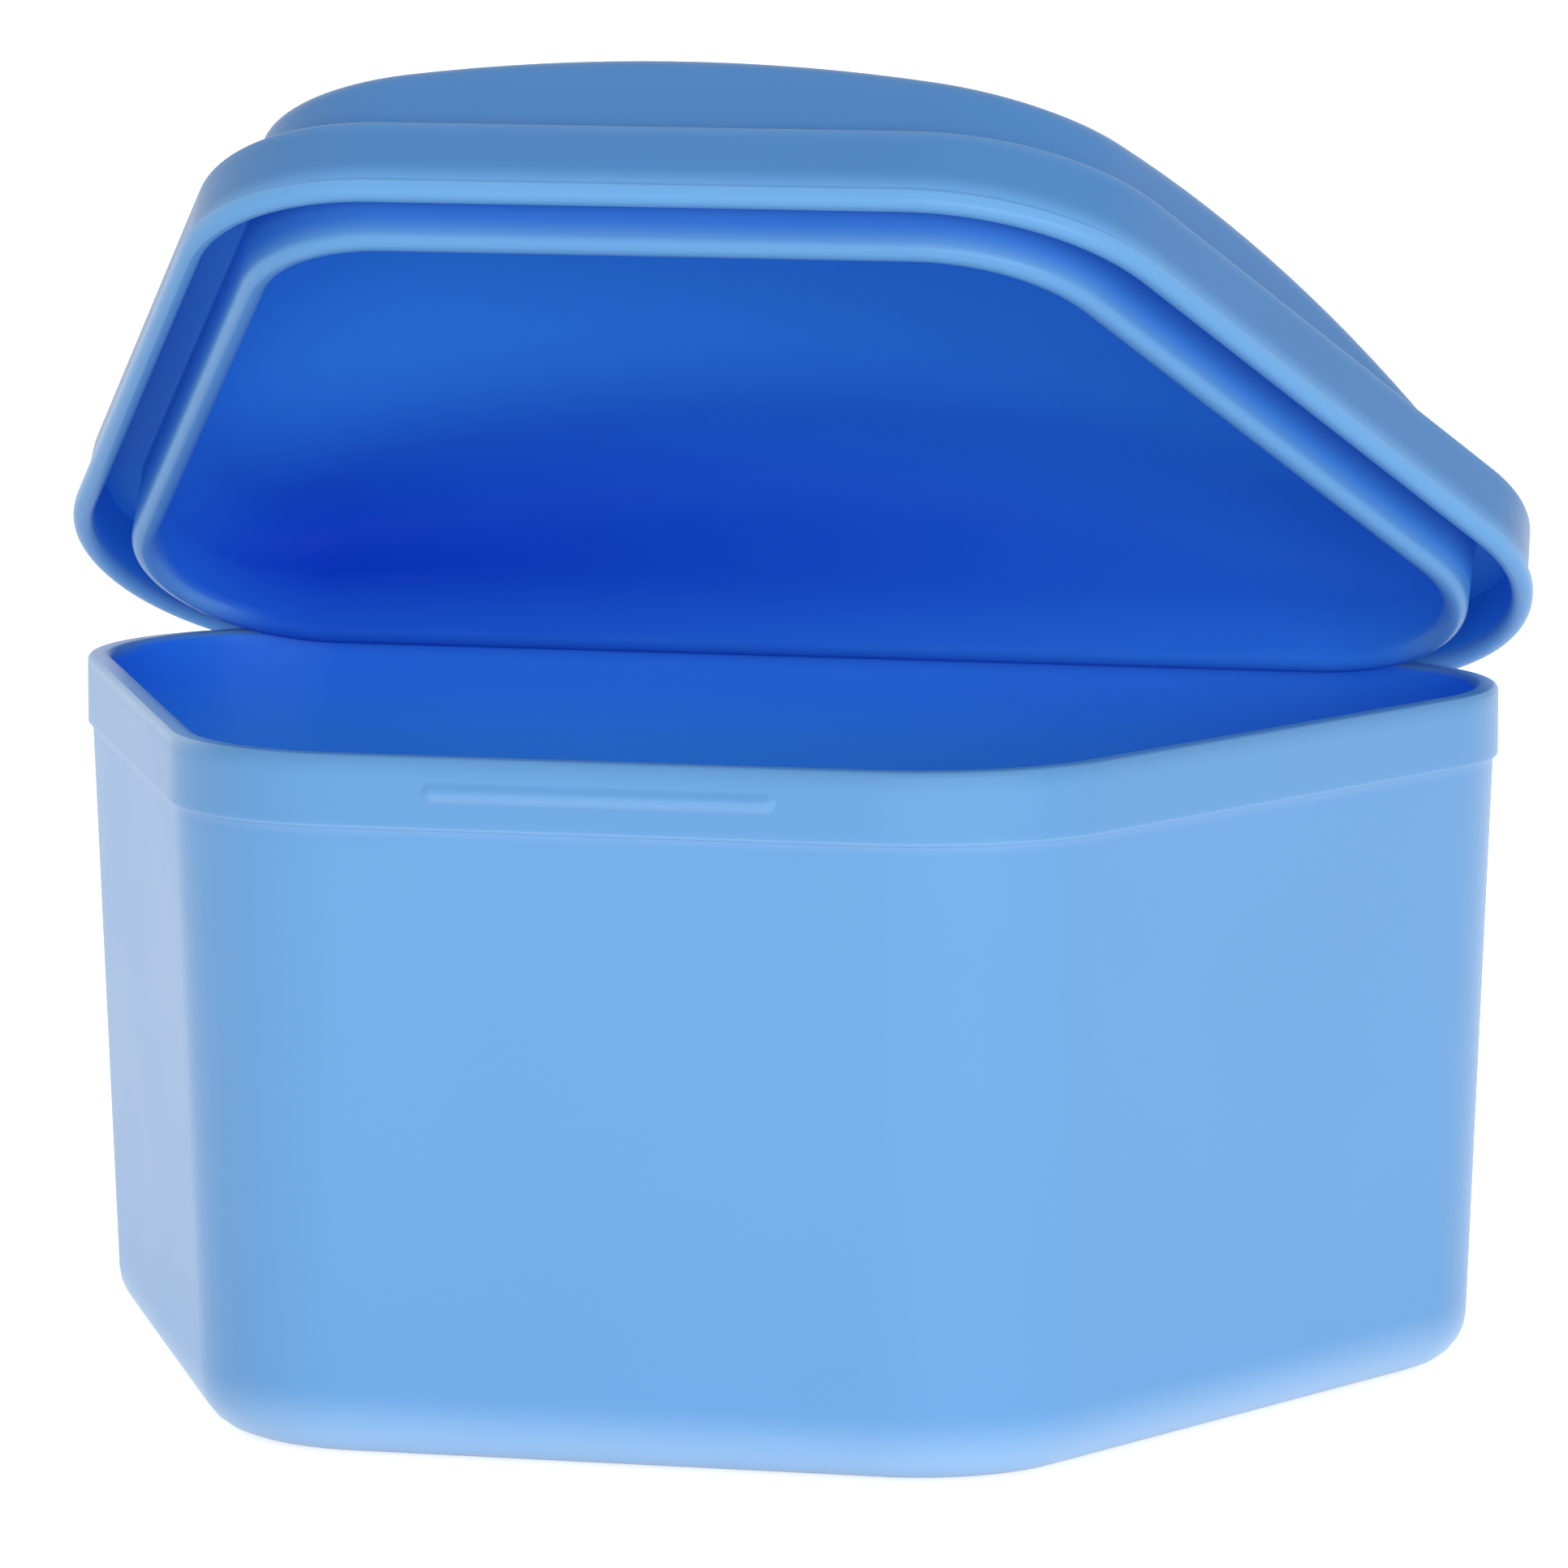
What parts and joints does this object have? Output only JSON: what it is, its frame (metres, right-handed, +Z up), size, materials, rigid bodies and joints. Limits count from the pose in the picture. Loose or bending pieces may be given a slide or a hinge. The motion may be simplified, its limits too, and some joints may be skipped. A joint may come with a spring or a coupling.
{
  "type": "denture case",
  "caption": "Deep trapezoid tub for dentures with a domed lid on a rear hinge pin, shown standing open.",
  "frame": {"origin": "centre of the flat bottom of the tub, midway between the front and back faces of the rim", "axes": "+X to the right, the narrow front faces -Y, the hinge is at +Y, +Z up"},
  "size_m": [0.0948, 0.0671, 0.0833],
  "materials": {
    "tub_plastic": "sky blue moulded plastic with a soft gloss",
    "lid_plastic": "sky blue moulded plastic with a soft gloss",
    "pin_plastic": "sky blue moulded plastic with a soft gloss"
  },
  "bodies": {
    "tub_body": {"tub": "tub_plastic", "hinge_pin": "pin_plastic"},
    "lid_body": {"lid": "lid_plastic"}
  },
  "joints": [
    {"name": "lid_hinge", "type": "hinge", "parent": "tub_body", "child": "lid_body", "pos_m": [0, 0.0346, 0.0405], "axis": [-1, 0, 0], "range_deg": [-33.2, 146.8]}
  ]
}
